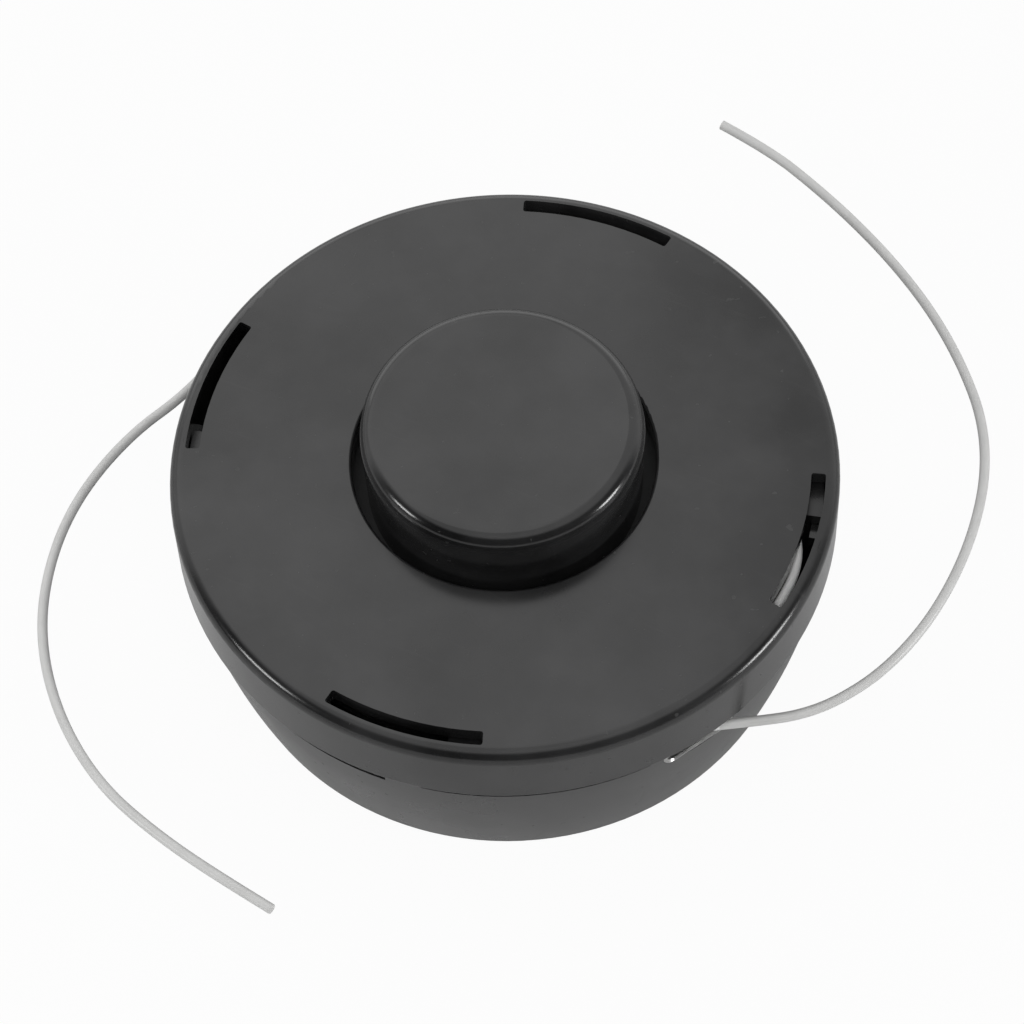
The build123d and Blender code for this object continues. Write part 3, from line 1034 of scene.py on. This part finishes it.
@dataclass
class Studio:
    """The pale floor, the lamps, the dark flag and the photograph's viewpoint."""

    target: Point = (0.0, 0.0, 0.0489)
    focal_px: float = 3883.0
    frame_px: float = 1024.0
    sensor_mm: float = 36.0
    elevation: float = 58.565
    roll: float = -2.873
    aside: float = -0.001534
    above: float = 0.009763
    distance: float = 0.75117
    clip_start: float = 0.01
    ambient: float = 0.28
    floor_radius: float = 3.0
    floor_segments: int = 96
    floor_tone: float = 0.76
    floor_seen: float = 0.95
    floor_reflected: float = 0.16
    flag_radius: float = 1.2
    flag_half_width: float = 112.0
    flag_low: float = -4.0
    flag_high: float = 58.0
    flag_columns: int = 48
    flag_rows: int = 24
    side_fade: float = 0.8
    top_fade: float = 0.7
    lamps: tuple[Softbox, ...] = (
        Softbox("overhead_softbox", 92.0, 62.0, 1.1, 1.5, 1.1, 0.56, aside=0.58),
        Softbox("back_panel", 92.0, 16.0, 1.1, 1.9, 0.5, 0.7),
        Softbox("left_strip", 199.0, 17.0, 1.0, 0.26, 0.16, 15.0),
        Softbox("right_strip", 341.0, 10.0, 1.0, 0.28, 0.18, 19.0),
        Softbox("camera_fill", 270.0, 62.0, 1.1, 0.5, 0.5, 4.5, reflected=False),
    )

    def build(self) -> None:
        """Sets up everything around the head."""
        self.build_camera()
        self.build_world()
        self.build_floor()
        self.build_flag()
        for lamp in self.lamps:
            lamp.build(Vector(self.target))
        bpy.context.scene.view_settings.view_transform = "Standard"
        LOG.info("studio set up with %d lamps", len(self.lamps))

    def build_camera(self) -> None:
        """Puts the camera at the photograph's viewpoint."""
        rise, roll = math.radians(self.elevation), math.radians(self.roll)
        ahead = Vector((0.0, math.cos(rise), -math.sin(rise)))
        level = Vector((1.0, 0.0, 0.0))
        steep = level.cross(ahead)
        right = math.cos(roll) * level + math.sin(roll) * steep
        up = -math.sin(roll) * level + math.cos(roll) * steep
        data = bpy.data.cameras.new("photo_camera")
        data.sensor_width = self.sensor_mm
        data.lens = self.focal_px / self.frame_px * self.sensor_mm
        data.clip_start = self.clip_start
        camera = bpy.data.objects.new("photo_camera", data)
        bpy.context.scene.collection.objects.link(camera)
        turn = Matrix((right, up, -ahead)).transposed()
        place = Vector(self.target) - (self.aside * right + self.above * up + self.distance * ahead)
        camera.matrix_world = Matrix.Translation(place) @ turn.to_4x4()
        bpy.context.scene.camera = camera

    def build_world(self) -> None:
        """Lights the room evenly, and shows white to the camera and in reflections."""
        world = bpy.data.worlds.new("white_room")
        world.use_nodes = True
        sheet = NodeSheet(world.node_tree)
        rays = sheet.node("ShaderNodeLightPath").outputs
        seen = self.seen(sheet, rays)
        strength = self.ambient + seen * (1.0 - self.ambient)
        light = sheet.node("ShaderNodeBackground", None, {"Color": (1.0, 1.0, 1.0, 1.0), "Strength": strength})
        sheet.node("ShaderNodeOutputWorld", None, {"Surface": light.outputs[0]})
        bpy.context.scene.world = world

    @staticmethod
    def seen(sheet: NodeSheet, rays: Any) -> Term:
        """1 for camera, glossy and transmission rays, and 0 for the rest.

        Args:
            sheet: the tree that the term joins.
            rays: the outputs of a Light Path node.

        Returns:
            The term.
        """
        camera, glossy, through = (
            Term(sheet, rays[name]) for name in ("Is Camera Ray", "Is Glossy Ray", "Is Transmission Ray")
        )
        return (camera + glossy + through).clamped()

    def build_floor(self) -> None:
        """Lays a round white floor that keeps a soft shadow and is open from below."""
        sheet = ShaderSheet("pale_floor")
        rays = sheet.node("ShaderNodeLightPath").outputs
        tone = (self.floor_tone, self.floor_tone, self.floor_tone, 1.0)
        matt = sheet.node("ShaderNodeBsdfDiffuse", None, {"Color": tone})
        glow = sheet.node("ShaderNodeEmission", None, {"Color": (1.0, 1.0, 1.0, 1.0), "Strength": 1.0})
        direct = Term(sheet, rays["Is Camera Ray"])
        mirrored = self.seen(sheet, rays) - direct
        lift = direct * self.floor_seen + mirrored * self.floor_reflected
        top = sheet.node("ShaderNodeMixShader", None, {0: lift, 1: matt.outputs[0], 2: glow.outputs[0]})
        clear = sheet.node("ShaderNodeBsdfTransparent")
        behind = sheet.node("ShaderNodeNewGeometry").outputs["Backfacing"]
        both = sheet.node("ShaderNodeMixShader", None, {0: behind, 1: top.outputs[0], 2: clear.outputs[0]})
        material = sheet.ended(both.outputs[0])
        mesh = bpy.data.meshes.new("floor")
        disc = bmesh.new()
        bmesh.ops.create_circle(disc, cap_ends=True, radius=self.floor_radius, segments=self.floor_segments)
        disc.to_mesh(mesh)
        disc.free()
        new_piece("floor", mesh, material)

    def flag_mesh(self) -> bpy.types.Mesh:
        """Makes the flag's card, a piece of a sphere around the head.

        Returns:
            The card's mesh.
        """
        card = bmesh.new()
        grid = []
        for row in range(self.flag_rows + 1):
            tilt = math.radians(self.flag_low + (self.flag_high - self.flag_low) * row / self.flag_rows)
            level, height = self.flag_radius * math.cos(tilt), self.flag_radius * math.sin(tilt)
            ring = []
            for column in range(self.flag_columns + 1):
                bearing = math.radians(self.flag_half_width * (2.0 * column / self.flag_columns - 1.0))
                ring.append(card.verts.new((level * math.sin(bearing), -level * math.cos(bearing), height)))
            grid.append(ring)
        for lower, upper in zip(grid, grid[1:]):
            for index in range(self.flag_columns):
                card.faces.new((lower[index], lower[index + 1], upper[index + 1], upper[index]))
        mesh = bpy.data.meshes.new("dark_flag")
        card.to_mesh(mesh)
        card.free()
        return mesh

    def build_flag(self) -> None:
        """Stands a dark curved card on the camera's side, which only reflections show."""
        sheet = ShaderSheet("dark_flag")
        axes = sheet.node("ShaderNodeSeparateXYZ", None, {0: sheet.place}).outputs
        x, y, z = (Term(sheet, axes[index]) for index in range(3))
        azimuth = x.math("ARCTAN2", y * -1.0) * (180.0 / math.pi)
        rise = (z / self.flag_radius).math("ARCSINE") * (180.0 / math.pi)
        fade_from = self.flag_half_width * self.side_fade
        across = 1.0 - azimuth.math("ABSOLUTE").rise(fade_from, self.flag_half_width)
        upward = 1.0 - rise.rise(self.flag_high * self.top_fade, self.flag_high)
        glow = sheet.node("ShaderNodeEmission", None, {"Strength": 1.0 - across * upward})
        material = sheet.ended(glow.outputs[0])
        flag = new_piece("dark_flag", self.flag_mesh(), material)
        flag.visible_camera = False
        flag.visible_diffuse = False
        flag.visible_shadow = False
        flag.visible_transmission = False


def main() -> None:
    """Builds the studio and dresses the head, sub-assembly by sub-assembly."""
    logging.basicConfig(level=logging.INFO, format="%(name)s: %(message)s")
    finishes = Finishes()
    Studio().build()
    CutterLines(finishes).build()
    Shell(finishes).build()
    FeedUnit(finishes).build()
    DriveHub(finishes).build()


if __name__ == "__main__":
    main()
